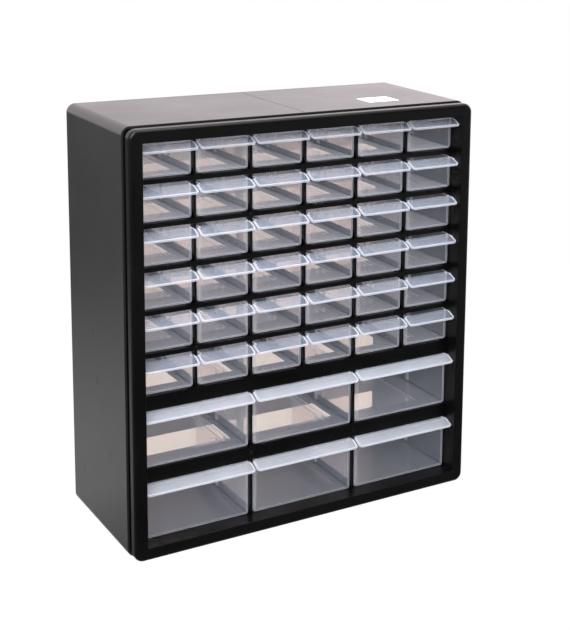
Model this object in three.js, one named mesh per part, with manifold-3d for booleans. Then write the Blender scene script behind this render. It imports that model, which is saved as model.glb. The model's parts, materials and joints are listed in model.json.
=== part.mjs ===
// Parts organizer: a black moulded cabinet holding 36 small and 6 large
// clear drawers. Millimetres, +Z up, the drawers face -Y, the cabinet stands
// on z = 0 and is centred on the Z axis.
import * as THREE from 'three';
import { mergeVertices } from 'three/addons/utils/BufferGeometryUtils.js';
import ManifoldModule from 'manifold-3d';

const { Manifold, Mesh } = await loadManifold();

// ---------------------------------------------------------------- dimensions

// Clearance between neighbouring pieces.
const GAP = 0.3;

const cabinet = { width: 380, depth: 168 };

const bezel = {
  inset: 1,            // outline is this much smaller than the housing
  border: 13,          // width of the border round the opening
  depth: 18,           // how far it stands out of the housing
  flange: 10,          // depth of the wide part in front of the neck
  neckStep: 5,         // the neck is this much smaller than the flange
  insertion: 14,       // how far the neck reaches into the housing
  cornerRadius: 9,
  edgeRadius: 4,       // soft outer front edge
  wall: 2.5,
  recess: 16.5,        // from the front face back to the lattice
};

const housing = {
  wall: 2.5,
  cornerRadius: 9,
};

const lattice = {
  dividerThickness: 2,
  dividerDepth: 8,
  smallShelf: 4.6,     // height of the shelf edge between small drawers
  bandHeight: 14.5,    // plain band above each row of large drawers
  smallShelfDepth: 34,
  bandDepth: 24,
  plate: 2,
  railWidth: 16,
  fenceHeight: 6,
};

// seat: height of the rails above the lower edge of the cell.
const smallDrawer = {
  columns: 6,
  rows: 6,
  cellHeight: 37.5,
  seat: 1,
  topClearance: 3.5,
};

const largeDrawer = {
  columns: 3,
  rows: 2,
  cellHeight: 58.5,
  seat: 0.3,
  topClearance: 1,
};

const drawer = {
  sideClearance: 1.8,
  setback: 0.6,        // front face behind the front of the lattice
  rearClearance: 1.5,
  wall: 1.6,
  bottomRadius: 3.2,
  lipReach: 13,
  lipDrop: 6,
  lipThickness: 1.6,
  lipOverhang: 1.4,    // lip beyond the drawer body on each side
  lipCornerRadius: 3,
  rimHeight: 1.1,
  rimWidth: 1.3,
};

// Pairs of ribs inside the side walls of a drawer that hold a loose divider.
const rib = {
  width: 1.2,
  proud: 1,
  slot: 2,             // space for the divider between the two ribs
  belowTop: 2,
};

// Two long openings in the back wall behind each row of cells.
const rearWindow = {
  margin: 3,           // from the end of the row to the window
  post: 8,             // solid wall between the two windows of a row
  sillShare: 0.3,      // shares of the cell height
  heightShare: 0.36,
  cornerRadius: 3,
};

const keyhole = {
  inset: 88,           // from the side of the cabinet
  below: 9,            // from the top of the cabinet
  headRadius: 4.2,
  slotRadius: 2.2,
  slotLength: 5,
};

const label = {
  width: 36,
  depth: 28,
  thickness: 0.25,
  fromRight: 64,
  behindRim: 27,
};

// Derived sizes.
const openingWidth = cabinet.width - 2 * (bezel.inset + bezel.border);
const smallPitchX = (openingWidth + lattice.dividerThickness) / smallDrawer.columns;
const largePitchX = (openingWidth + lattice.dividerThickness) / largeDrawer.columns;
const openingHeight = smallDrawer.rows * smallDrawer.cellHeight
  + (smallDrawer.rows - 1) * lattice.smallShelf
  + largeDrawer.rows * (largeDrawer.cellHeight + lattice.bandHeight);
const openingBottom = bezel.inset + bezel.border;
const openingTop = openingBottom + openingHeight;
const cabinetHeight = openingTop + bezel.border + bezel.inset;

const frontY = -cabinet.depth / 2;
const backY = cabinet.depth / 2;
const housingFrontY = frontY + bezel.depth;
const flangeBackY = frontY + bezel.flange;
const neckBackY = housingFrontY + bezel.insertion;
const latticeY = frontY + bezel.recess;
const backWallY = backY - housing.wall;
const drawerFrontY = latticeY + drawer.setback;
const drawerLength = backWallY - drawer.rearClearance - drawerFrontY;

// ------------------------------------------------------------------ toolkit

async function loadManifold() {
  const module = await ManifoldModule();
  module.setup();
  return module;
}

// Turns a closed three.js geometry into a solid for boolean work.
function solid(geometry) {
  const bare = geometry.index ? geometry.toNonIndexed() : geometry.clone();
  bare.deleteAttribute('normal');
  bare.deleteAttribute('uv');
  const welded = mergeVertices(bare, 1e-4);
  const mesh = new Mesh({
    numProp: 3,
    vertProperties: Float32Array.from(welded.attributes.position.array),
    triVerts: Uint32Array.from(welded.index.array),
  });
  mesh.merge();
  return Manifold.ofMesh(mesh);
}

// Turns a finished solid back into a three.js geometry with flat faces.
function geometryOf(body) {
  const mesh = body.getMesh();
  const geometry = new THREE.BufferGeometry();
  const points = new Float32Array(mesh.numVert * 3);
  for (let i = 0; i < mesh.numVert; i += 1) {
    for (let axis = 0; axis < 3; axis += 1) {
      points[3 * i + axis] = mesh.vertProperties[i * mesh.numProp + axis];
    }
  }
  geometry.setAttribute('position', new THREE.BufferAttribute(points, 3));
  geometry.setIndex(Array.from(mesh.triVerts));
  const flat = geometry.toNonIndexed();
  flat.computeVertexNormals();
  return flat;
}

function box(x, y, z) {
  const geometry = new THREE.BoxGeometry(x[1] - x[0], y[1] - y[0], z[1] - z[0]);
  geometry.translate((x[0] + x[1]) / 2, (y[0] + y[1]) / 2, (z[0] + z[1]) / 2);
  return solid(geometry);
}

// A rectangle whose four corner radii are given as
// { topLeft, topRight, bottomLeft, bottomRight }.
function rectangleShape(x, z, radii) {
  const shape = new THREE.Shape();
  const corners = [
    [x[1], z[0], radii.bottomRight, -Math.PI / 2],
    [x[1], z[1], radii.topRight, 0],
    [x[0], z[1], radii.topLeft, Math.PI / 2],
    [x[0], z[0], radii.bottomLeft, Math.PI],
  ];
  corners.forEach(([cornerX, cornerZ, radius, start], index) => {
    const centreX = cornerX === x[1] ? cornerX - radius : cornerX + radius;
    const centreZ = cornerZ === z[1] ? cornerZ - radius : cornerZ + radius;
    if (radius > 0) {
      shape.absarc(centreX, centreZ, radius, start, start + Math.PI / 2, false);
    } else if (index === 0) {
      shape.moveTo(cornerX, cornerZ);
    } else {
      shape.lineTo(cornerX, cornerZ);
    }
  });
  return shape;
}

function roundedRectangle(x, z, radius) {
  const radii = { topLeft: radius, topRight: radius, bottomLeft: radius, bottomRight: radius };
  return rectangleShape(x, z, radii);
}

// Extrude settings; three.js cuts each arc into twice curveSegments pieces.
function extrusion(depth, arcPieces) {
  return { depth, bevelEnabled: false, curveSegments: arcPieces / 2 };
}

// Extrudes a shape drawn in X and Z between two Y positions.
function prism(shape, y, arcPieces = 2) {
  const geometry = new THREE.ExtrudeGeometry(shape, extrusion(y[1] - y[0], arcPieces));
  geometry.rotateX(Math.PI / 2);
  geometry.translate(0, y[1], 0);
  return solid(geometry);
}

function cylinderAlongY(radius, y, x, z) {
  const geometry = new THREE.CylinderGeometry(radius, radius, y[1] - y[0], 16);
  geometry.translate(x, (y[0] + y[1]) / 2, z);
  return solid(geometry);
}

// Full-size outline of the cabinet, pulled in by a margin.
function cabinetOutline(margin, radius) {
  const half = cabinet.width / 2 - margin;
  return roundedRectangle([-half, half], [margin, cabinetHeight - margin], radius);
}

// -------------------------------------------------------------- cell layout

// Floor height of every cell row, counted from the top.
function smallFloor(row) {
  const pitch = smallDrawer.cellHeight + lattice.smallShelf;
  return openingTop - smallDrawer.cellHeight - (row - 1) * pitch;
}

function largeFloor(row) {
  const pitch = largeDrawer.cellHeight + lattice.bandHeight;
  return openingBottom + (largeDrawer.rows - row) * pitch;
}

// One entry per drawer cell: name, left and right limits, floor and height.
function cellsOf(size, prefix, pitch, floorOf) {
  const cells = [];
  for (let row = 1; row <= size.rows; row += 1) {
    for (let column = 1; column <= size.columns; column += 1) {
      const left = -openingWidth / 2 + (column - 1) * pitch;
      cells.push({
        name: `${prefix}_r${row}_c${column}`,
        x: [left, left + pitch - lattice.dividerThickness],
        floor: floorOf(row),
        height: size.cellHeight,
        seat: size.seat,
        topClearance: size.topClearance,
      });
    }
  }
  return cells;
}

const smallCells = cellsOf(smallDrawer, 'small_drawer', smallPitchX, smallFloor);
const largeCells = cellsOf(largeDrawer, 'large_drawer', largePitchX, largeFloor);

// Centre lines of the vertical dividers between a number of columns.
function dividerCentres(columns, pitch) {
  const centres = [];
  for (let index = 1; index < columns; index += 1) {
    centres.push(-openingWidth / 2 + index * pitch - lattice.dividerThickness / 2);
  }
  return centres;
}

// ------------------------------------------------------------ housing shell

function rearWindowCuts(cell) {
  const bottom = cell.floor + cell.height * rearWindow.sillShare;
  const z = [bottom, bottom + cell.height * rearWindow.heightShare];
  const end = openingWidth / 2 - rearWindow.margin;
  const middle = rearWindow.post / 2;
  return [[-end, -middle], [middle, end]].map((x) => {
    const opening = roundedRectangle(x, z, rearWindow.cornerRadius);
    return prism(opening, [backWallY - 1, backY + 1], 3);
  });
}

function keyholeCut(x) {
  const through = [backWallY - 1, backY + 1];
  const headZ = cabinetHeight - housing.wall - keyhole.below - keyhole.headRadius;
  const head = cylinderAlongY(keyhole.headRadius, through, x, headZ);
  const slot = roundedRectangle(
    [x - keyhole.slotRadius, x + keyhole.slotRadius],
    [headZ, headZ + keyhole.headRadius + keyhole.slotLength],
    keyhole.slotRadius * 0.95,
  );
  return head.add(prism(slot, through, 3));
}

function housingShell() {
  const outer = prism(cabinetOutline(0, housing.cornerRadius), [housingFrontY, backY], 5);
  const innerRadius = housing.cornerRadius - housing.wall;
  const inside = prism(
    cabinetOutline(housing.wall, innerRadius),
    [housingFrontY - 1, backWallY],
    5,
  );
  const rows = [...smallCells, ...largeCells].filter((cell) => cell.name.endsWith('_c1'));
  const windows = rows.flatMap(rearWindowCuts);
  const keyholeX = cabinet.width / 2 - keyhole.inset;
  const cuts = [inside, ...windows, keyholeCut(-keyholeX), keyholeCut(keyholeX)];
  return outer.subtract(Manifold.union(cuts));
}

// -------------------------------------------------------------- front frame

// The wide front part of the bezel, solid, with soft outer front edges.
function flangeBlock() {
  const soft = bezel.edgeRadius;
  const outline = cabinetOutline(bezel.inset, bezel.cornerRadius);
  const geometry = new THREE.ExtrudeGeometry(outline, {
    depth: bezel.flange,
    bevelThickness: soft,
    bevelSize: soft,
    bevelOffset: -soft,
    bevelSegments: 4,
    curveSegments: 3,
  });
  geometry.rotateX(Math.PI / 2);
  geometry.translate(0, flangeBackY + soft, 0);
  const half = cabinet.width;
  const keep = box([-half, half], [frontY - 1, flangeBackY], [-10, cabinetHeight + 10]);
  return solid(geometry).intersect(keep);
}

// The picture frame round the drawers with the neck that enters the housing,
// hollow from behind.
function bezelShell() {
  const neckInset = bezel.inset + bezel.neckStep;
  const neckRadius = bezel.cornerRadius - bezel.neckStep;
  const neckY = [flangeBackY - 1, neckBackY];
  const neck = prism(cabinetOutline(neckInset, neckRadius), neckY, 4);
  const inside = cabinetOutline(neckInset + bezel.wall, neckRadius - bezel.wall);
  const pocket = prism(inside, [frontY + bezel.wall, neckBackY + 1], 4);
  return flangeBlock().add(neck).subtract(pocket);
}

// Square tube that lines the opening from the front face to behind the lattice.
function openingTube(margin, y) {
  const half = openingWidth / 2 + margin;
  return box([-half, half], y, [openingBottom - margin, openingTop + margin]);
}

// A shelf: a front edge of the full height and a thin floor plate behind it.
function shelf(top, height, depth) {
  const half = openingWidth / 2 + 1;
  const across = [-half, half];
  const y = [latticeY, latticeY + depth];
  const front = box(across, [latticeY, latticeY + bezel.wall], [top - height, top]);
  const floor = box(across, y, [top - lattice.plate, top]);
  const parts = [front, floor];
  if (height > 2 * lattice.plate + 2) {
    parts.push(box(across, y, [top - height, top - height + lattice.plate]));
  }
  return Manifold.union(parts);
}

// Inverted-T rail that carries the drawers on both sides of a divider.
function rail(x, seat) {
  const y = [latticeY, backWallY - GAP];
  const half = lattice.railWidth / 2;
  const thin = lattice.dividerThickness / 2;
  const flange = box([x - half, x + half], y, [seat - lattice.plate, seat]);
  const fence = box([x - thin, x + thin], y, [seat - 1, seat + lattice.fenceHeight]);
  return flange.add(fence);
}

// Half rail along the side of the opening; side is -1 or 1.
function edgeRail(side, seat) {
  const y = [latticeY, backWallY - GAP];
  const outside = side * (openingWidth / 2 + bezel.wall);
  const reach = side * (openingWidth / 2 + lattice.dividerThickness / 2 - lattice.railWidth / 2);
  const x = [Math.min(reach, outside), Math.max(reach, outside)];
  return box(x, y, [seat - lattice.plate, seat]);
}

// All the rails of a row; seat is the height of their upper face.
function railRow(seat, centres) {
  const rails = centres.map((x) => rail(x, seat));
  return [...rails, edgeRail(-1, seat), edgeRail(1, seat)];
}

function divider(x, z) {
  const half = lattice.dividerThickness / 2;
  return box([x - half, x + half], [latticeY, latticeY + lattice.dividerDepth], z);
}

function latticeParts() {
  const smallCentres = dividerCentres(smallDrawer.columns, smallPitchX);
  const largeCentres = dividerCentres(largeDrawer.columns, largePitchX);
  const smallBottom = smallFloor(smallDrawer.rows);
  const parts = [];
  for (let row = 1; row <= smallDrawer.rows; row += 1) {
    const last = row === smallDrawer.rows;
    const height = last ? lattice.bandHeight : lattice.smallShelf;
    const depth = last ? lattice.bandDepth : lattice.smallShelfDepth;
    parts.push(shelf(smallFloor(row), height, depth));
    parts.push(...railRow(smallFloor(row) + smallDrawer.seat, smallCentres));
  }
  parts.push(shelf(largeFloor(1), lattice.bandHeight, lattice.bandDepth));
  for (let row = 1; row <= largeDrawer.rows; row += 1) {
    parts.push(...railRow(largeFloor(row) + largeDrawer.seat, largeCentres));
  }
  smallCentres.forEach((x) => parts.push(divider(x, [smallBottom - 1, openingTop + 1])));
  largeCentres.forEach((x) => {
    parts.push(divider(x, [openingBottom - 1, smallBottom - lattice.bandHeight + 1]));
  });
  return parts;
}

function frontFrame() {
  const tubeY = [frontY + bezel.wall / 2, latticeY + lattice.dividerDepth];
  const clear = openingTube(0, [frontY - 1, tubeY[1] + 1]);
  const frame = bezelShell().add(openingTube(bezel.wall, tubeY)).subtract(clear);
  return Manifold.union([frame, ...latticeParts()]);
}

// ------------------------------------------------------------------ drawers

// Outline of a drawer across the cabinet: square top, rounded bottom corners.
function drawerOutline(x, z, radius) {
  const radii = { topLeft: 0, topRight: 0, bottomLeft: radius, bottomRight: radius };
  return rectangleShape(x, z, radii);
}

// The handle: a sloping lip with a raised rim along its sides and front.
function drawerLip(x, top) {
  const slope = Math.atan2(drawer.lipDrop, drawer.lipReach);
  const reach = Math.hypot(drawer.lipDrop, drawer.lipReach);
  const outerX = [x[0] - drawer.lipOverhang, x[1] + drawer.lipOverhang];
  const innerX = [outerX[0] + drawer.rimWidth, outerX[1] - drawer.rimWidth];
  const radius = drawer.lipCornerRadius;
  const radii = { topLeft: 0, topRight: 0, bottomLeft: radius, bottomRight: radius };
  const thickness = drawer.lipThickness + drawer.rimHeight;
  const plan = rectangleShape(outerX, [-reach, drawer.wall / 4], radii);
  const plate = new THREE.ExtrudeGeometry(plan, extrusion(thickness, 2));
  plate.translate(0, 0, -thickness);
  const innerRadius = radius - drawer.rimWidth;
  const innerRadii = {
    topLeft: 0, topRight: 0, bottomLeft: innerRadius, bottomRight: innerRadius,
  };
  const hollowPlan = rectangleShape(innerX, [drawer.rimWidth - reach, reach], innerRadii);
  const hollow = new THREE.ExtrudeGeometry(hollowPlan, extrusion(thickness, 2));
  hollow.translate(0, 0, -drawer.rimHeight);
  [plate, hollow].forEach((geometry) => {
    geometry.rotateX(slope);
    geometry.translate(0, drawerFrontY, top);
  });
  const below = box(
    [outerX[0] - 1, outerX[1] + 1],
    [drawerFrontY - 2 * reach, drawerFrontY + reach],
    [top - 2 * reach, top],
  );
  return solid(plate).subtract(solid(hollow)).intersect(below);
}

// The four ribs halfway along a drawer, two on each side wall.
function dividerRibs(x, z) {
  const middle = drawerFrontY + drawerLength / 2;
  const ribs = [];
  [-1, 1].forEach((end) => {
    const near = middle + end * (rib.slot / 2);
    const far = near + end * rib.width;
    const y = [Math.min(near, far), Math.max(near, far)];
    ribs.push(box([x[0] + drawer.wall / 2, x[0] + drawer.wall + rib.proud], y, z));
    ribs.push(box([x[1] - drawer.wall - rib.proud, x[1] - drawer.wall / 2], y, z));
  });
  return ribs;
}

function drawerBody(cell) {
  const x = [cell.x[0] + drawer.sideClearance, cell.x[1] - drawer.sideClearance];
  const bottom = cell.floor + cell.seat + GAP;
  const top = cell.floor + cell.height - cell.topClearance;
  const y = [drawerFrontY, drawerFrontY + drawerLength];
  const outer = prism(drawerOutline(x, [bottom, top], drawer.bottomRadius), y);
  const inside = drawerOutline(
    [x[0] + drawer.wall, x[1] - drawer.wall],
    [bottom + drawer.wall, top + 5],
    drawer.bottomRadius - drawer.wall,
  );
  const hollow = prism(inside, [y[0] + drawer.wall, y[1] - drawer.wall]);
  const ribs = dividerRibs(x, [bottom + drawer.bottomRadius, top - rib.belowTop]);
  return Manifold.union([outer.subtract(hollow), drawerLip(x, top), ...ribs]);
}

// -------------------------------------------------------------------- label

function topLabel() {
  const right = cabinet.width / 2 - label.fromRight;
  const front = housingFrontY + label.behindRim;
  const bottom = cabinetHeight + 0.05;
  return box(
    [right - label.width, right],
    [front, front + label.depth],
    [bottom, bottom + label.thickness],
  );
}

// ----------------------------------------------------------------- assembly

const blackPlastic = new THREE.MeshStandardMaterial({
  color: 0x1b1c1e,
  roughness: 0.5,
  metalness: 0,
});
const clearPlastic = new THREE.MeshStandardMaterial({
  color: 0xd6dce6,
  roughness: 0.25,
  metalness: 0,
});
const labelPaper = new THREE.MeshStandardMaterial({
  color: 0xeeeeec,
  roughness: 0.7,
  metalness: 0,
});

function named(name, body, material) {
  const mesh = new THREE.Mesh(geometryOf(body), material);
  mesh.name = name;
  return mesh;
}

function partsOrganizer() {
  const group = new THREE.Group();
  group.name = 'parts_organizer';
  group.add(named('housing_shell', housingShell(), blackPlastic));
  group.add(named('front_frame', frontFrame(), blackPlastic));
  group.add(named('top_label', topLabel(), labelPaper));
  [...smallCells, ...largeCells].forEach((cell) => {
    group.add(named(cell.name, drawerBody(cell), clearPlastic));
  });
  return group;
}

export default partsOrganizer();
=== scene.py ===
"""Looks of the parts organizer: fine meshes, materials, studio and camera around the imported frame.

Metres, +Z up, drawers face -Y. Sizes and places are read from the CAD nodes' boxes.
"""

import json
import math

import bmesh
import bpy
from mathutils import Euler, Matrix, Vector

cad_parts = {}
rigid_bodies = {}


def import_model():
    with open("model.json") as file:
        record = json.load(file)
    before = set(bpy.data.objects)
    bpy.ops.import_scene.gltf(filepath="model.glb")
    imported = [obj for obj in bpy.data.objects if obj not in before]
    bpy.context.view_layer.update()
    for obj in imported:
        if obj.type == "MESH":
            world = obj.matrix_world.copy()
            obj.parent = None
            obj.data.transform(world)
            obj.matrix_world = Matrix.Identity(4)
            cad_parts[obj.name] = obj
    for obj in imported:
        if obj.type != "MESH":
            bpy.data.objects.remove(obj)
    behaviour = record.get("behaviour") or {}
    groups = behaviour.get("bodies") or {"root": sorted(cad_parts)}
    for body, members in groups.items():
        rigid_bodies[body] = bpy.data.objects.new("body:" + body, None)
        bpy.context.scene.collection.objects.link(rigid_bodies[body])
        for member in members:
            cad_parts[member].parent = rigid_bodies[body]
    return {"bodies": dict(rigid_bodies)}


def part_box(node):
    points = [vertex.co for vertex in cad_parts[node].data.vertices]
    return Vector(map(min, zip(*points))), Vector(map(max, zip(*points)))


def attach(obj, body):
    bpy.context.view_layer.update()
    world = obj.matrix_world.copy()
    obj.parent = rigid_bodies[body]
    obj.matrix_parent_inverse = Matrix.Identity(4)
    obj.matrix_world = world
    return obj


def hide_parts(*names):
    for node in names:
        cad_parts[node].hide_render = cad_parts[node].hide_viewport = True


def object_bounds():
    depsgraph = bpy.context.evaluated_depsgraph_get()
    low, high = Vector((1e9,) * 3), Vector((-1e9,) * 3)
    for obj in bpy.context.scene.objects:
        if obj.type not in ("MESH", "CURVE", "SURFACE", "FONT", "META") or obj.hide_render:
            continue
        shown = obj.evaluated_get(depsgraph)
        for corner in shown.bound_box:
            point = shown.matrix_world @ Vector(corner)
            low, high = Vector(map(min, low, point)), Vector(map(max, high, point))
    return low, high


MM = 0.001

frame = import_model()
cad_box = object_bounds()

# ---------------------------------------------------------------- dimensions

SMOOTH_ANGLE = math.radians(35)  # edges that turn more than this stay sharp
EASE = 0.3                       # share of a rounded edge taken by its middle point

HOUSING_WALL = 2.5 * MM
HOUSING_RADIUS = 9 * MM
HOUSING_LEAST_RADIUS = 0.5 * MM
HOUSING_RIM = 0.5 * MM           # softening of the edge round the mouth
HOUSING_REAR = 1.2 * MM          # softening of the edge round the back
HOLE_EDGE = 0.4 * MM             # softening of the holes in the back wall
SEAM_WIDTH = 0.5 * MM            # half the width of the mould's parting line
SEAM_DEPTH = 0.25 * MM

BEZEL = {
    "wall": 2.5 * MM,
    "border": 13 * MM,
    "flange": 10 * MM,     # depth of the wide front part
    "neck": 5 * MM,        # step in behind the flange, a deep shadow gap
    "collar": 1.7 * MM,    # step in to the part that fills the mouth of the housing
    "collar_at": 19 * MM,  # front face to the front of the collar
    "depth": 32 * MM,      # front face to the back of the neck
    "radius": 9 * MM,
    "least_radius": 0.6 * MM,
    "soft": 4 * MM,        # radius of the outer front edge
    "crisp": 0.5 * MM,     # radius of the edge at the opening
    "small": 0.3 * MM,     # chamfer of the hidden edges
    "recess": 16.5 * MM,   # front face to lattice
}

LATTICE = {
    "divider": 2 * MM,
    "divider_depth": 8 * MM,
    "plate": 2 * MM,
    "face": 2.5 * MM,
    "small_depth": 34 * MM,
    "band_depth": 24 * MM,
    "rail_width": 16 * MM,
    "fence": 6 * MM,
    "edge": 0.4 * MM,      # softening of the drawer openings
    "bar_edge": 0.2 * MM,  # softening of shelves, rails and dividers
    "bite": 1 * MM,        # how far neighbouring bars run into each other
    "corner": 0.6 * MM,    # corner radius of the drawer openings
    "outer_corner": 0.5 * MM,
    "clearance": 0.3 * MM,  # between the rails and the back wall
}

# Crossings with a mould gate mark: row above, row below, and the column left of the crossing.
GATE_CROSSINGS = ((1, 2, 1), (1, 2, 3), (4, 5, 0), (6, 7, 0), (6, 7, 1))
GATE_PROFILE = ((2.2, 0.0), (1.8, 0.5), (1.2, 0.55), (0.9, 0.1))  # radius and height in mm
GATE_STEPS = 12
GATE_SINK = 0.02 * MM
GATE_WOBBLE = 0.12
GATE_PHASE = 40  # radians per metre, so that no two marks are alike

GAPS = {
    "small": {"seat": 1 * MM, "top": 3.5 * MM},
    "large": {"seat": 0.3 * MM, "top": 1 * MM},
}

DRAWER = {
    "side_gap": 1.8 * MM,
    "floor_gap": 0.3 * MM,
    "wall": 1.3 * MM,
    "radius": 3 * MM,
    "lip_reach": 13 * MM,
    "lip_drop": 6 * MM,
    "lip_below": 1.5 * MM,  # the handle's lower face starts this far below the walls' top
    "lip_overhang": 1.4 * MM,
    "lip_radius": 3 * MM,
    "lip_root": 1 * MM,     # rounding where the handle meets the front
    "rim_height": 1.9 * MM,
    "rim_start": 2.6 * MM,  # the raised rim starts this far in front of the drawer
    "rim_lean": 0.2 * MM,   # the rim's top leans this far forward
    "edge": 0.35 * MM,      # softening of every rim
    "edge_angle": math.radians(40),
}

RIB = {
    "width": 1.2 * MM,
    "proud": 1 * MM,
    "slot": 2 * MM,        # space for a loose divider between two ribs
    "below_top": 2 * MM,
    "edge": 0.25 * MM,
}

WINDOW = {
    "margin": 3 * MM,      # from the end of a row
    "post": 8 * MM,        # between the two windows of a row
    "sill": 0.3,           # shares of the cell height
    "height": 0.36,
    "radius": 3 * MM,
}

KEYHOLE = {
    "inset": 88 * MM,
    "below": 9 * MM,
    "head": 4.2 * MM,
    "slot": 2.2 * MM,
    "length": 5 * MM,
}

LABEL = {"sink": 0.05 * MM, "edge": 0.05 * MM, "radius": 0.5 * MM}

WHITE = (1, 1, 1, 1)
WORLD_TINT = (1.0, 0.905, 0.93, 1)
LIGHT_TARGET = Vector((0, 0, 0.2))
FLOOR_SIZE = 12
FLOOR_GAP = 0.2 * MM
FLOOR_GLOW = 1.03
FLOOR_GLOW_SHARE = 0.94  # the rest of what the camera sees is the floor's own shading

# The photograph's viewpoint: place in metres, angles in degrees, lens in mm, shift in frame widths.
CAMERA = {
    "place": (-0.63177, -1.24016, 0.64124),
    "yaw": 33.49,
    "pitch": 10.27,
    "roll": 1.34,
    "lens": 78.14,
    "sensor": 36,
    "reach": 50,
    "shift": {"shift_x": -0.2267, "shift_y": -0.2831},
}


def drawer_names():
    """Names of the drawer bodies, small ones first."""
    return sorted((name for name in frame["bodies"] if "drawer" in name), reverse=True)


def size_of(name):
    return "small" if name.startswith("small") else "large"


def cell_of(name):
    """The cabinet cell that holds a drawer: left, right, floor and top, from the drawer's box."""
    low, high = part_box(name)
    side = DRAWER["side_gap"] - DRAWER["lip_overhang"]
    gaps = GAPS[size_of(name)]
    seat = low.z - DRAWER["floor_gap"]
    return {
        "x": (low.x - side, high.x + side),
        "seat": seat,
        "floor": seat - gaps["seat"],
        "top": high.z + gaps["top"],
    }


CELLS = {name: cell_of(name) for name in drawer_names()}


def cell_rows():
    """Cells grouped in rows from the top: each row is its cells from left to right."""
    rows = {}
    for cell in CELLS.values():
        rows.setdefault(round(cell["floor"], 5), []).append(cell)
    ordered = sorted(rows.items(), reverse=True)
    return [sorted(cells, key=lambda cell: cell["x"][0]) for _, cells in ordered]


# ------------------------------------------------------------------- outlines


def rounded_polygon(corners, steps=6):
    """Points of a polygon in X and Z whose corners (x, z, radius) are filleted."""
    points = []
    count = len(corners)
    for index, (x, z, radius) in enumerate(corners):
        corner = Vector((x, z))
        if radius <= 0:
            points.append(corner)
            continue
        before = (Vector(corners[index - 1][:2]) - corner).normalized()
        after = (Vector(corners[(index + 1) % count][:2]) - corner).normalized()
        half = before.angle(after) / 2
        centre = corner + (before + after).normalized() * (radius / math.sin(half))
        start = corner + before * (radius / math.tan(half)) - centre
        turn = math.pi - 2 * half
        if after.x * before.y - after.y * before.x < 0:
            turn = -turn
        for step in range(steps + 1):
            angle = turn * step / steps
            spun = Vector((
                start.x * math.cos(angle) - start.y * math.sin(angle),
                start.x * math.sin(angle) + start.y * math.cos(angle),
            ))
            points.append(centre + spun)
    return points


def rectangle(x, z, radius, steps=6):
    """Points of a rectangle with four equal corner radii."""
    corners = [
        (x[1], z[0], radius),
        (x[1], z[1], radius),
        (x[0], z[1], radius),
        (x[0], z[0], radius),
    ]
    return rounded_polygon(corners, steps)


def at_y(points, y):
    return [(point.x, y, point.y) for point in points]


# ----------------------------------------------------------------- mesh tools


def add_ring(bm, points):
    return [bm.verts.new(point) for point in points]


def bridge(bm, ring_a, ring_b):
    """Joins two closed rings of the same length with quads."""
    count = len(ring_a)
    for index in range(count):
        after = (index + 1) % count
        bm.faces.new((ring_a[index], ring_a[after], ring_b[after], ring_b[index]))


def loft(bm, rings, closed=False):
    """Joins rings of points in order; closed joins the last one to the first."""
    rows = [add_ring(bm, ring) for ring in rings]
    for row, after in zip(rows, rows[1:]):
        bridge(bm, row, after)
    if closed:
        bridge(bm, rows[-1], rows[0])
    return rows


def fill(bm, rings):
    """Fills the flat face bounded by an outer ring and any holes in it."""
    edges = []
    for ring in rings:
        for index, vertex in enumerate(ring):
            pair = (vertex, ring[(index + 1) % len(ring)])
            edges.append(bm.edges.get(pair) or bm.edges.new(pair))
    bmesh.ops.triangle_fill(bm, edges=edges, use_beauty=True, use_dissolve=False)


def add_box(bm, x, y, z, edge=0.0):
    """A closed box; edge rounds its edges a little."""
    made = bmesh.ops.create_cube(bm, size=1)
    size = Vector((x[1] - x[0], y[1] - y[0], z[1] - z[0]))
    middle = Vector((x[0] + x[1], y[0] + y[1], z[0] + z[1])) / 2
    for vertex in made["verts"]:
        vertex.co = Vector(a * b for a, b in zip(vertex.co, size)) + middle
    if edge > 0:
        edges = list({e for v in made["verts"] for e in v.link_edges})
        bmesh.ops.bevel(bm, geom=edges, offset=edge, segments=2, profile=0.5, affect="EDGES")


def finish_mesh(bm, name):
    """Turns a bmesh into mesh data with outward normals and smooth rounds."""
    bmesh.ops.recalc_face_normals(bm, faces=bm.faces)
    mesh = bpy.data.meshes.new(name)
    bm.to_mesh(mesh)
    bm.free()
    mesh.shade_smooth()
    mesh.set_sharp_from_angle(angle=SMOOTH_ANGLE)
    return mesh


def add_piece(name, mesh, body, replaced, slot, *materials):
    """Links a mesh as a piece that rides on a body and stands for CAD nodes."""
    piece = bpy.data.objects.new(name, mesh)
    bpy.context.scene.collection.objects.link(piece)
    for material in materials:
        mesh.materials.append(material)
    flat = piece.modifiers.new("flat_faces", "WEIGHTED_NORMAL")
    flat.keep_sharp = True
    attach(piece, body)
    if replaced:
        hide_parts(replaced)
    return piece


# -------------------------------------------------------------- housing shell


def housing_outline(low, high, inset, groove):
    """Outline of the housing, pulled in, with the mould's parting line along its top."""
    radius = max(HOUSING_RADIUS - inset, HOUSING_LEAST_RADIUS)
    top = high.z - inset
    bottom = low.z + inset
    corners = [
        (high.x - inset, bottom, radius),
        (high.x - inset, top, radius),
        (SEAM_WIDTH, top, 0),
        (SEAM_WIDTH / 2, top - groove, 0),
        (-SEAM_WIDTH / 2, top - groove, 0),
        (-SEAM_WIDTH, top, 0),
        (low.x + inset, top, radius),
        (low.x + inset, bottom, radius),
    ]
    return rounded_polygon(corners, 10)


def window_outline(row, side, grow):
    """One of the two long openings in the back wall behind a row of cells; side is -1 or 1."""
    cell = row[0]
    height = cell["top"] - cell["floor"]
    bottom = cell["floor"] + height * WINDOW["sill"]
    top = bottom + height * WINDOW["height"]
    end = row[-1]["x"][1] - WINDOW["margin"] + grow
    x = sorted((side * end, side * (WINDOW["post"] / 2 - grow)))
    return rectangle(x, (bottom - grow, top + grow), WINDOW["radius"], 5)


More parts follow.
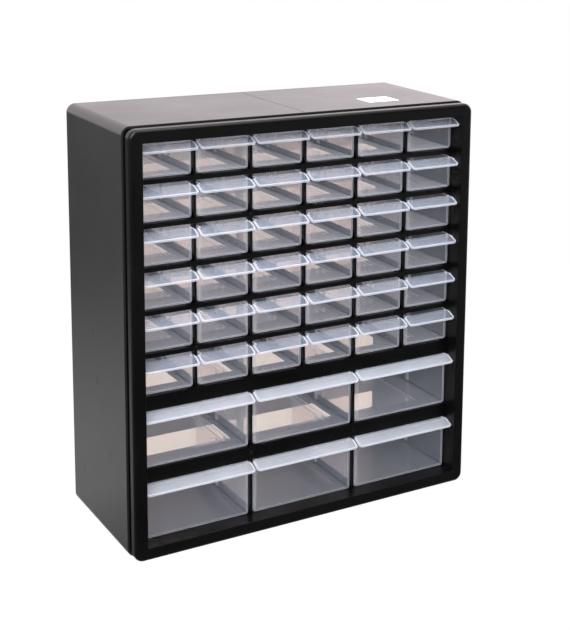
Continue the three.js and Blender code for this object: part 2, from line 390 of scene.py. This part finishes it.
def keyhole_outline(x, top, grow):
    """A round head with a narrow slot above it, for a screw in the wall."""
    head = KEYHOLE["head"] + grow
    slot = KEYHOLE["slot"] + grow
    centre = top - HOUSING_WALL - KEYHOLE["below"] - KEYHOLE["head"]
    start = math.asin(slot / head)
    points = []
    head_steps = 24
    for step in range(head_steps + 1):
        angle = math.pi / 2 + start + (2 * math.pi - 2 * start) * step / head_steps
        points.append(Vector((x + head * math.cos(angle), centre + head * math.sin(angle))))
    tip = centre + KEYHOLE["head"] + KEYHOLE["length"] - slot
    slot_steps = 10
    for step in range(slot_steps + 1):
        angle = math.pi * step / slot_steps
        points.append(Vector((x + slot * math.cos(angle), tip + slot * math.sin(angle))))
    return points


def through_rings(outline, front, back, edge):
    """Rings of a hole through the back wall, with softened edges on both faces."""
    steps = [
        (edge, front),
        (edge * EASE, front + edge * EASE),
        (0.0, front + edge),
        (0.0, back - edge),
        (edge * EASE, back - edge * EASE),
        (edge, back),
    ]
    return [at_y(outline(grow), y) for grow, y in steps]


def housing_mesh():
    low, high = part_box("housing_shell")
    wall = HOUSING_WALL
    inner_back = high.y - wall
    rim = HOUSING_RIM
    rear = HOUSING_REAR

    def outline(inset, y, groove=0.0):
        return at_y(housing_outline(low, high, inset, groove), y)

    bm = bmesh.new()
    rows = loft(bm, [
        outline(wall, inner_back),
        outline(wall, low.y + rim),
        outline(wall - rim * EASE, low.y + rim * EASE),
        outline(wall - rim, low.y),
        outline(rim, low.y),
        outline(rim * EASE, low.y + rim * EASE, SEAM_DEPTH),
        outline(0.0, low.y + rim, SEAM_DEPTH),
        outline(0.0, high.y - rear, SEAM_DEPTH),
        outline(rear * EASE, high.y - rear * EASE, SEAM_DEPTH),
        outline(rear, high.y),
    ])
    outlines = []
    for side in (-1, 1):
        x = side * (high.x - KEYHOLE["inset"])
        outlines.append(lambda grow, x=x: keyhole_outline(x, high.z, grow))
        for row in cell_rows():
            outlines.append(lambda grow, row=row, side=side: window_outline(row, side, grow))
    holes = [loft(bm, through_rings(hole, inner_back, high.y, HOLE_EDGE)) for hole in outlines]
    fill(bm, [rows[0]] + [hole[0] for hole in holes])
    fill(bm, [rows[-1]] + [hole[-1] for hole in holes])
    return finish_mesh(bm, "housing")


# ---------------------------------------------------------------- front frame


def quarter_turn(steps):
    """Angles from 0 to a right angle."""
    return [math.pi / 2 * index / steps for index in range(steps + 1)]


def bezel_profile(front, recess_end):
    """Cross-section of the bezel as (inset from its outline, y), a closed loop."""
    soft = BEZEL["soft"]
    crisp = BEZEL["crisp"]
    border = BEZEL["border"]
    wall = BEZEL["wall"]
    neck = BEZEL["neck"]
    collar = BEZEL["collar"]
    back = front + BEZEL["depth"]
    step = front + BEZEL["flange"]
    small = BEZEL["small"]
    profile = [
        (neck + wall, back),
        (collar + small, back),
        (collar, back - small),
        (collar, front + BEZEL["collar_at"]),
        (neck, front + BEZEL["collar_at"]),
        (neck, step),
        (small, step),
        (0.0, step - small),
    ]
    for angle in quarter_turn(8):
        profile.append((soft - soft * math.cos(angle), front + soft - soft * math.sin(angle)))
    for angle in quarter_turn(3):
        inset = border - crisp + crisp * math.sin(angle)
        profile.append((inset, front + crisp - crisp * math.cos(angle)))
    profile += [
        (border, recess_end),
        (border - wall, recess_end),
        (border - wall, front + wall),
        (neck + wall, front + wall),
    ]
    return profile


def add_bezel(bm, low, high):
    recess_end = low.y + BEZEL["recess"] + LATTICE["divider_depth"]
    rings = []
    for inset, y in bezel_profile(low.y, recess_end):
        x = (low.x + inset, high.x - inset)
        z = (low.z + inset, high.z - inset)
        radius = max(BEZEL["radius"] - inset, BEZEL["least_radius"])
        rings.append(at_y(rectangle(x, z, radius, 8), y))
    loft(bm, rings, closed=True)


def add_lattice_face(bm, low, high, y):
    """Flat plate with one rectangular hole for each drawer."""
    border = BEZEL["border"] - LATTICE["bite"]
    x = (low.x + border, high.x - border)
    z = (low.z + border, high.z - border)
    edge = LATTICE["edge"]
    outline = rectangle(x, z, LATTICE["outer_corner"], 2)
    outer = loft(bm, [at_y(outline, depth) for depth in y])
    steps = [
        (edge, y[0]),
        (edge * EASE, y[0] + edge * EASE),
        (0.0, y[0] + edge),
        (0.0, y[1]),
    ]
    holes = []
    for cell in CELLS.values():
        rings = []
        for grow, depth in steps:
            hole_x = (cell["x"][0] - grow, cell["x"][1] + grow)
            hole_z = (cell["floor"] - grow, cell["top"] + grow)
            hole = rectangle(hole_x, hole_z, LATTICE["corner"] + grow, 3)
            rings.append(at_y(hole, depth))
        holes.append(loft(bm, rings))
    fill(bm, [outer[0]] + [hole[0] for hole in holes])
    fill(bm, [outer[-1]] + [hole[-1] for hole in holes])


def add_gate_mark(bm, x, y, z):
    """The small raised scar that the moulding's sprue leaves on the lattice face."""
    rings = []
    for radius, lift in GATE_PROFILE:
        ring = []
        for step in range(GATE_STEPS):
            angle = 2 * math.pi * step / GATE_STEPS
            wobble = 1 + GATE_WOBBLE * math.sin(3 * angle + GATE_PHASE * x)
            reach = radius * wobble * MM
            ring.append((x + reach * math.cos(angle), y - lift * MM, z + reach * math.sin(angle)))
        rings.append(ring)
    rows = loft(bm, rings)
    bm.faces.new(rows[0])
    bm.faces.new(rows[-1])


def add_gate_marks(bm, y):
    """Marks at the crossings of dividers and bars where the moulding was filled."""
    rows = cell_rows()
    for above, below, column in GATE_CROSSINGS:
        z = (rows[above][0]["floor"] + rows[below][0]["top"]) / 2
        row = rows[below]
        x = (row[column]["x"][1] + row[column + 1]["x"][0]) / 2
        add_gate_mark(bm, x, y, z)


def add_shelf(bm, row, below, y):
    """The plate under a row. A tall gap to the row below gets a second plate at its bottom."""
    plate = LATTICE["plate"]
    edge = LATTICE["bar_edge"]
    floor = row[0]["floor"]
    across = (row[0]["x"][0] - LATTICE["bite"], row[-1]["x"][1] + LATTICE["bite"])
    band = floor - below > 3 * plate
    depth = LATTICE["band_depth"] if band else LATTICE["small_depth"]
    add_box(bm, across, (y, y + depth), (floor - plate, floor), edge)
    if band:
        add_box(bm, across, (y, y + depth), (below, below + plate), edge)


def add_rails(bm, row, y, back):
    """Dividers between the cells of a row, and the rails and fences that guide its drawers."""
    half = LATTICE["rail_width"] / 2
    thin = LATTICE["divider"] / 2
    bite = LATTICE["bite"]
    edge = LATTICE["bar_edge"]
    seat = row[0]["seat"]
    rail = (seat - LATTICE["plate"], seat)
    fence = (seat - bite, seat + LATTICE["fence"])
    upright = (row[0]["floor"] - bite, row[0]["top"] + bite)
    for left, right in zip(row, row[1:]):
        x = (left["x"][1] + right["x"][0]) / 2
        add_box(bm, (x - half, x + half), (y, back), rail, edge)
        add_box(bm, (x - thin, x + thin), (y, back), fence, edge)
        add_box(bm, (x - thin, x + thin), (y, y + LATTICE["divider_depth"]), upright, edge)
    reach = half - thin
    left_end = row[0]["x"][0]
    right_end = row[-1]["x"][1]
    add_box(bm, (left_end - bite, left_end + reach), (y, back), rail, edge)
    add_box(bm, (right_end - reach, right_end + bite), (y, back), rail, edge)


def add_shelves(bm, y):
    """Shelf plates, dividers and the rails that carry the drawers."""
    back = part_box("housing_shell")[1].y - HOUSING_WALL - LATTICE["clearance"]
    rows = cell_rows()
    for index, row in enumerate(rows):
        if index + 1 < len(rows):
            add_shelf(bm, row, rows[index + 1][0]["top"], y)
        add_rails(bm, row, y, back)


def frame_mesh():
    low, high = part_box("front_frame")
    face = low.y + BEZEL["recess"]
    bm = bmesh.new()
    add_bezel(bm, low, high)
    add_lattice_face(bm, low, high, (face, face + LATTICE["face"]))
    add_shelves(bm, face + LATTICE["face"] / 2)
    add_gate_marks(bm, face + GATE_SINK)
    return finish_mesh(bm, "front_frame_fine")


# -------------------------------------------------------------------- drawers

# Material slots of a drawer mesh.
BODY, LIP, EDGE, RIM = range(4)


def lip_outline(half, reach):
    """Plan of the handle, from its root at the left of the front wall round to the right."""
    overhang = half + DRAWER["lip_overhang"]
    root = half - DRAWER["radius"]
    corners = [
        (-root, 0.0, 0),
        (-overhang, 0.0, DRAWER["lip_root"]),
        (-overhang, -reach, DRAWER["lip_radius"]),
        (overhang, -reach, DRAWER["lip_radius"]),
        (overhang, 0.0, DRAWER["lip_root"]),
        (root, 0.0, 0),
    ]
    return rounded_polygon(corners, 5)


def add_tub(bm, width, length, height):
    """An open box with rounded edges: origin at the middle of the front's lower edge."""
    bmesh.ops.create_cube(bm, size=1)
    for vertex in bm.verts:
        x, y, z = vertex.co
        vertex.co = Vector((x * width, (y + 0.5) * length, (z + 0.5) * height))
    top = [f for f in bm.faces if f.normal.z > 0.5]
    rim_edges = set(top[0].edges)
    bmesh.ops.delete(bm, geom=top, context="FACES_ONLY")
    edges = [e for e in bm.edges if e not in rim_edges]
    radius = DRAWER["radius"]
    rounds = bmesh.ops.bevel(
        bm, geom=edges, offset=radius, segments=5, profile=0.5, affect="EDGES"
    )
    # The front's rounds take the edge material, whose extra haze and emission paint a highlight
    # along them.
    for face in rounds["faces"]:
        if face.calc_center_median().y < radius:
            face.material_index = EDGE


def add_handle(bm, width, height):
    """The sloping plate in front of the tub, with a raised rim round its free edge."""
    slope = math.atan2(DRAWER["lip_drop"], DRAWER["lip_reach"])
    reach = math.hypot(DRAWER["lip_drop"], DRAWER["lip_reach"])
    root = width / 2 - DRAWER["radius"]
    lip_height = height - DRAWER["lip_below"]

    def placed(point, lift):
        flat = Vector((point.x, point.y * math.cos(slope), point.y * math.sin(slope)))
        normal = Vector((0, -math.sin(slope), math.cos(slope)))
        return flat + Vector((0, 0, lip_height)) + normal * lift

    def nearest(x):
        target = Vector((x, 0, height))
        return min((v for v in bm.verts), key=lambda v: (v.co - target).length)

    left = nearest(-root)
    right = nearest(root)
    left.co.z = lip_height
    right.co.z = lip_height
    plan = lip_outline(width / 2, reach)[1:-1]
    base = [left] + [bm.verts.new(placed(point, 0)) for point in plan] + [right]
    bm.faces.new(base).material_index = LIP
    lean = Vector((0, DRAWER["rim_lean"], 0))
    rim = []
    for point in plan:
        ahead = Vector((point.x, min(point.y, -DRAWER["rim_start"])))
        rim.append(bm.verts.new(placed(ahead, DRAWER["rim_height"]) - lean))
    for index in range(len(rim) - 1):
        edge = bm.faces.new((base[index + 1], base[index + 2], rim[index + 1], rim[index]))
        edge.material_index = RIM


def drawer_surface(width, length, height):
    """Outer skin of a drawer, its tub and its handle."""
    bm = bmesh.new()
    add_tub(bm, width, length, height)
    add_handle(bm, width, height)
    return bm


def add_ribs(bm, width, length, height):
    """The four ribs halfway along a drawer, two on each side wall, as closed slim boxes."""
    near = RIB["slot"] / 2
    far = near + RIB["width"]
    wall = width / 2 - DRAWER["wall"] / 2
    tip = width / 2 - DRAWER["wall"] - RIB["proud"]
    z = (DRAWER["radius"], height - RIB["below_top"])
    for side in (-1, 1):
        for end in (-1, 1):
            x = sorted((side * wall, side * tip))
            y = sorted((length / 2 + end * near, length / 2 + end * far))
            add_box(bm, x, y, z, RIB["edge"])


def drawer_mesh(name, width, length, height, materials):
    """Thin-walled drawer: the skin is given its thickness and every rim a small round."""
    bm = drawer_surface(width, length, height)
    bmesh.ops.recalc_face_normals(bm, faces=bm.faces)
    mesh = bpy.data.meshes.new(name)
    bm.to_mesh(mesh)
    bm.free()
    for material in materials:
        mesh.materials.append(material)
    piece = bpy.data.objects.new(name, mesh)
    bpy.context.scene.collection.objects.link(piece)
    shell = piece.modifiers.new("wall", "SOLIDIFY")
    shell.thickness = DRAWER["wall"]
    shell.offset = -1
    shell.use_even_offset = True
    shell.material_offset_rim = RIM
    soft = piece.modifiers.new("soft", "BEVEL")
    soft.width = DRAWER["edge"]
    soft.segments = 2
    soft.limit_method = "ANGLE"
    soft.angle_limit = DRAWER["edge_angle"]
    graph = bpy.context.evaluated_depsgraph_get()
    made = bpy.data.meshes.new_from_object(piece.evaluated_get(graph))
    bpy.data.objects.remove(piece)
    bm = bmesh.new()
    bm.from_mesh(made)
    shell_faces = set(bm.faces)
    add_ribs(bm, width, length, height)
    for face in bm.faces:
        if face not in shell_faces:
            face.material_index = RIM
    bm.to_mesh(made)
    bm.free()
    made.name = name
    made.shade_smooth()
    made.set_sharp_from_angle(angle=SMOOTH_ANGLE)
    return made


def build_drawers(materials):
    meshes = {}
    for name in drawer_names():
        low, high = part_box(name)
        kind = size_of(name)
        front = low.y + DRAWER["lip_reach"]
        width = high.x - low.x - 2 * DRAWER["lip_overhang"]
        if kind not in meshes:
            size = (width, high.y - front, high.z - low.z)
            meshes[kind] = drawer_mesh(f"{kind}_drawer", *size, materials[kind])
        piece = bpy.data.objects.new(name + "_clear", meshes[kind])
        bpy.context.scene.collection.objects.link(piece)
        piece.location = ((low.x + high.x) / 2, front, low.z)
        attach(piece, name)
        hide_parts(name)


# ------------------------------------------------------------------ materials


class Nodes:
    """A short way to write the node tree of a material or of the world."""

    def __init__(self, owner, output="ShaderNodeOutputMaterial"):
        self.owner = owner
        self.output = output
        owner.use_nodes = True
        self.tree = owner.node_tree
        self.tree.nodes.clear()

    def add(self, kind, inputs=None, **settings):
        node = self.tree.nodes.new(kind)
        for key, value in settings.items():
            setattr(node, key, value)
        for key, value in (inputs or {}).items():
            self.put(node.inputs[key], value)
        return node

    def put(self, socket, value):
        if isinstance(value, bpy.types.NodeSocket):
            self.tree.links.new(value, socket)
        elif isinstance(value, bpy.types.Node):
            self.tree.links.new(value.outputs[0], socket)
        else:
            socket.default_value = value

    def math(self, operation, a, b=0.0):
        return self.add("ShaderNodeMath", {0: a, 1: b}, operation=operation).outputs[0]

    def noise(self, scale, detail=3.0, roughness=0.5):
        place = self.add("ShaderNodeTexCoord").outputs["Object"]
        inputs = {"Vector": place, "Scale": scale, "Detail": detail, "Roughness": roughness}
        return self.add("ShaderNodeTexNoise", inputs).outputs["Fac"]

    def map_range(self, value, source, target, **settings):
        inputs = {
            "Value": value,
            "From Min": source[0],
            "From Max": source[1],
            "To Min": target[0],
            "To Max": target[1],
        }
        return self.add("ShaderNodeMapRange", inputs, **settings).outputs["Result"]

    def span(self, value, low, high):
        """Maps 0..1 to low..high."""
        return self.map_range(value, (0.0, 1.0), (low, high))

    def ramp(self, value, colour_a, colour_b, start=0.3, end=0.7):
        node = self.add("ShaderNodeValToRGB", {"Fac": value})
        node.color_ramp.elements[0].position = start
        node.color_ramp.elements[0].color = (*colour_a, 1)
        node.color_ramp.elements[1].position = end
        node.color_ramp.elements[1].color = (*colour_b, 1)
        return node.outputs["Color"]

    def finish(self, shader):
        output = self.add(self.output)
        self.put(output.inputs["Surface"], shader)
        return self.owner


def black_plastic(name, dark, light, roughness, shine):
    """Satin moulded plastic: fine grain, a cloudy sheen and faint scuffs."""
    n = Nodes(bpy.data.materials.new(name))
    cloud = n.noise(scale=9, detail=5, roughness=0.6)
    grain = n.noise(scale=1500, detail=2)
    stretched = n.add("ShaderNodeMapping", {
        0: n.add("ShaderNodeTexCoord").outputs["Object"],
        "Rotation": (0.3, 0.5, 0.2),
        "Scale": (900, 35, 35),
    })
    scratch = n.add("ShaderNodeTexNoise", {"Vector": stretched, "Scale": 1.0, "Detail": 2.0})
    scuff = n.map_range(scratch.outputs["Fac"], (0.68, 0.8), (0.0, 0.12))
    colour = n.ramp(cloud, dark, light)
    sheen = n.span(cloud, roughness - 0.08, roughness + 0.1)
    rough = n.math("ADD", sheen, scuff)
    bump = n.add("ShaderNodeBump", {"Strength": 0.15, "Distance": 0.1 * MM, "Height": grain})
    shader = n.add("ShaderNodeBsdfPrincipled", {
        "Base Color": colour,
        "Roughness": rough,
        "IOR": 1.5,
        "Specular IOR Level": shine,
        "Normal": bump,
    })
    return n.finish(shader)


def frosted_plastic(name, clear_low, clear_high, glow, haze=(0.68, 0.80, 1.0, 1)):
    """Milky clear plastic, thicker seen edge-on.

    It is bluish where it scatters light and warm where it lets light through.
    clear_low and clear_high: share of light that one face lets through. glow: strength of a painted
    highlight, an emission at the edges that stands in for light carried inside the wall.
    """
    least_facing = 0.1
    through_colour = (0.995, 0.965, 0.94, 1)
    painted_glow_colour = (0.84, 0.89, 1.0, 1)
    n = Nodes(bpy.data.materials.new(name))
    geometry = n.add("ShaderNodeNewGeometry")
    directions = {0: geometry.outputs["Normal"], 1: geometry.outputs["Incoming"]}
    dot = n.add("ShaderNodeVectorMath", directions, operation="DOT_PRODUCT").outputs["Value"]
    facing = n.math("MAXIMUM", n.math("ABSOLUTE", dot), least_facing)
    turned = n.math("SUBTRACT", 1.0, facing)

    clear = n.span(n.noise(scale=60, detail=4), clear_low, clear_high)
    passed = n.math("POWER", clear, n.math("DIVIDE", 1.0, facing))
    haze_share = n.math("SUBTRACT", 1.0, passed)
    front = n.add("ShaderNodeBsdfDiffuse", {"Color": haze})
    behind = n.add("ShaderNodeBsdfTranslucent", {"Color": haze})
    scattered = n.add("ShaderNodeMixShader", {0: 0.5, 1: front, 2: behind})
    through = n.add("ShaderNodeBsdfTransparent", {"Color": through_colour})
    body = n.add("ShaderNodeMixShader", {0: haze_share, 1: through, 2: scattered})

    gloss = n.add("ShaderNodeBsdfGlossy", {"Color": WHITE, "Roughness": 0.22})
    outside = n.math("SUBTRACT", 1.0, geometry.outputs["Backfacing"])
    mirror = n.math("MULTIPLY", n.span(n.math("POWER", turned, 5.0), 0.04, 0.6), outside)
    surface = n.add("ShaderNodeMixShader", {0: mirror, 1: body, 2: gloss})

    # Painted highlight: emission at the faces seen edge-on, standing in for light piped through the
    # wall.
    edge = n.math("MULTIPLY", n.math("POWER", turned, 4.0), glow)
    light = n.add("ShaderNodeEmission", {"Color": painted_glow_colour, "Strength": edge})
    return n.finish(n.add("ShaderNodeAddShader", {0: surface, 1: light}))


def label_paper(name):
    """Plain coated paper with a faint fibre."""
    n = Nodes(bpy.data.materials.new(name))
    fibre = n.noise(scale=900, detail=3)
    colour = n.ramp(fibre, (0.86, 0.86, 0.85), (0.93, 0.93, 0.92))
    bump = n.add("ShaderNodeBump", {"Strength": 0.1, "Distance": 0.05 * MM, "Height": fibre})
    shader = n.add("ShaderNodeBsdfPrincipled", {
        "Base Color": colour,
        "Roughness": 0.6,
        "Normal": bump,
    })
    return n.finish(shader)


# ---------------------------------------------------------------------- label


def label_mesh():
    low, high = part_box("top_label")
    bm = bmesh.new()
    edge = LABEL["edge"]
    rings = []
    for inset, z in ((0.0, low.z - LABEL["sink"]), (0.0, high.z - edge), (edge, high.z)):
        x = (low.x + inset, high.x - inset)
        y = (low.y + inset, high.y - inset)
        flat = rectangle(x, y, LABEL["radius"], 4)
        rings.append([(point.x, point.y, z) for point in flat])
    rows = loft(bm, rings)
    bm.faces.new(rows[0])
    bm.faces.new(rows[-1])
    return finish_mesh(bm, "label_sheet")


# --------------------------------------------------------------------- studio


def build_world():
    """White to the camera; to lighting and reflections brighter behind and to the right."""
    world = bpy.data.worlds.new("studio")
    bpy.context.scene.world = world
    n = Nodes(world, "ShaderNodeOutputWorld")
    direction = n.add("ShaderNodeTexCoord").outputs["Generated"]
    split = n.add("ShaderNodeSeparateXYZ", {0: direction})
    along = split.outputs["Y"]
    behind = n.map_range(along, (-1.0, 0.2), (0.05, 1.8), interpolation_type="SMOOTHSTEP")
    side = n.map_range(split.outputs["X"], (0.3, 0.8), (0.75, 1.3))
    seen = n.add("ShaderNodeLightPath").outputs["Is Camera Ray"]
    lit = n.math("MULTIPLY", behind, side)
    strength = n.add("ShaderNodeMix", {0: seen, 2: lit, 3: 1.0}).outputs[0]
    colours = {0: seen, 6: WORLD_TINT, 7: WHITE}
    tint = n.add("ShaderNodeMix", colours, data_type="RGBA").outputs[2]
    n.finish(n.add("ShaderNodeBackground", {"Color": tint, "Strength": strength}))


def build_floor():
    """White to the camera, grey to lighting, and a set of soft patches to reflections."""
    low = cad_box[0]
    place = (0, 0, low.z - FLOOR_GAP)
    bpy.ops.mesh.primitive_plane_add(size=FLOOR_SIZE, location=place)
    floor = bpy.context.object
    floor.name = "floor"
    n = Nodes(bpy.data.materials.new("floor_white"))
    position = n.add("ShaderNodeNewGeometry").outputs["Position"]
    split = n.add("ShaderNodeSeparateXYZ", {0: position})
    right = n.map_range(split.outputs["X"], (0.2, 1.6), (0.0, 0.5))
    near = n.map_range(split.outputs["Y"], (-0.15, 0.1), (0.1, 0.62))
    far = n.map_range(split.outputs["Y"], (0.25, 0.9), (1.0, 0.3))
    behind = n.math("MULTIPLY", near, far)
    patches = n.math("ADD", right, behind)
    mirrored = n.add("ShaderNodeEmission", {"Color": WHITE, "Strength": patches})
    diffuse = n.add("ShaderNodeBsdfDiffuse", {"Color": (0.5, 0.5, 0.5, 1)})
    glow = n.add("ShaderNodeEmission", {"Color": WHITE, "Strength": FLOOR_GLOW})
    path = n.add("ShaderNodeLightPath")
    parts = {0: path.outputs["Is Glossy Ray"], 1: diffuse, 2: mirrored}
    other = n.add("ShaderNodeMixShader", parts)
    share = n.math("MULTIPLY", path.outputs["Is Camera Ray"], FLOOR_GLOW_SHARE)
    shader = n.add("ShaderNodeMixShader", {0: share, 1: other, 2: glow})
    floor.data.materials.append(n.finish(shader))


def add_softbox(name, location, size, power):
    """A square area light aimed at the lower part of the cabinet."""
    light = bpy.data.lights.new(name, "AREA")
    light.shape = "RECTANGLE"
    light.size = size
    light.size_y = size
    light.energy = power
    lamp = bpy.data.objects.new(name, light)
    bpy.context.scene.collection.objects.link(lamp)
    lamp.location = location
    aim = LIGHT_TARGET - Vector(location)
    lamp.rotation_euler = aim.to_track_quat("-Z", "Y").to_euler()


def build_camera():
    """The photograph's view. The off-centre framing only holds at this place."""
    yaw, pitch, roll = (math.radians(CAMERA[name]) for name in ("yaw", "pitch", "roll"))
    data = bpy.data.cameras.new("camera")
    camera = bpy.data.objects.new("camera", data)
    bpy.context.scene.collection.objects.link(camera)
    bpy.context.scene.camera = camera
    camera.location = CAMERA["place"]
    ahead = Euler((math.pi / 2 - pitch, 0, -yaw)).to_matrix()
    camera.rotation_euler = (ahead @ Matrix.Rotation(roll, 3, "Z")).to_euler()
    data.sensor_width = CAMERA["sensor"]
    data.lens = CAMERA["lens"]
    data.clip_end = CAMERA["reach"]
    for path, offset in CAMERA["shift"].items():
        driver = data.driver_add(path).driver
        driver.type = "SCRIPTED"
        place = driver.variables.new()
        place.name = "x"
        place.type = "TRANSFORMS"
        place.targets[0].id = camera
        place.targets[0].transform_type = "LOC_X"
        driver.expression = f"{offset} if abs(x - {camera.location.x:.5f}) < 0.001 else 0.0"


def set_render():
    scene = bpy.context.scene
    scene.view_settings.view_transform = "Standard"
    scene.cycles.transparent_max_bounces = 48
    scene.cycles.max_bounces = 10
    scene.cycles.diffuse_bounces = 4
    scene.cycles.glossy_bounces = 4


# ------------------------------------------------------------------- assembly

housing_plastic = black_plastic(
    "housing_plastic",
    dark=(0.010, 0.011, 0.012),
    light=(0.016, 0.017, 0.018),
    roughness=0.30,
    shine=0.5,
)
frame_plastic = black_plastic(
    "frame_plastic",
    dark=(0.001, 0.001, 0.001),
    light=(0.003, 0.003, 0.003),
    roughness=0.28,
    shine=0.22,
)
body_plastic = frosted_plastic(
    "clear_plastic",
    clear_low=0.95,
    clear_high=0.968,
    glow=0.25,
    haze=(0.58, 0.73, 1.0, 1),
)
rim_plastic = frosted_plastic(
    "clear_plastic_rim",
    clear_low=0.5,
    clear_high=0.65,
    glow=0.4,
    haze=(0.88, 0.91, 0.99, 1),
)
# Hazier than the body and with a stronger edge emission: a painted highlight along the rounded
# corners of the drawer fronts.
edge_highlight_plastic = frosted_plastic(
    "clear_plastic_edge_highlight",
    clear_low=0.80,
    clear_high=0.86,
    glow=0.5,
    haze=(0.84, 0.88, 0.99, 1),
)
small_lip = frosted_plastic(
    "clear_plastic_small_lip",
    clear_low=0.86,
    clear_high=0.92,
    glow=0.3,
)
# Hazier and whiter than the small handles: painted light, standing in for the stronger light from
# above on the large handles.
lit_large_lip = frosted_plastic(
    "clear_plastic_large_lip",
    clear_low=0.72,
    clear_high=0.80,
    glow=0.3,
    haze=(0.80, 0.88, 0.98, 1),
)
drawer_plastic = {
    "small": [body_plastic, small_lip, edge_highlight_plastic, rim_plastic],
    "large": [body_plastic, lit_large_lip, edge_highlight_plastic, rim_plastic],
}
paper = label_paper("label_paper")

add_piece("housing", housing_mesh(), "cabinet", "housing_shell", "black_plastic", housing_plastic)
add_piece("frame", frame_mesh(), "cabinet", "front_frame", "black_plastic", frame_plastic)
add_piece("label", label_mesh(), "cabinet", "top_label", "label_paper", paper)
build_drawers(drawer_plastic)
build_world()
build_floor()
add_softbox("key", location=(-1.1, -1.3, 1.5), size=1.4, power=60)
add_softbox("top", location=(0, -0.3, 2.0), size=1.5, power=25)
build_camera()
set_render()
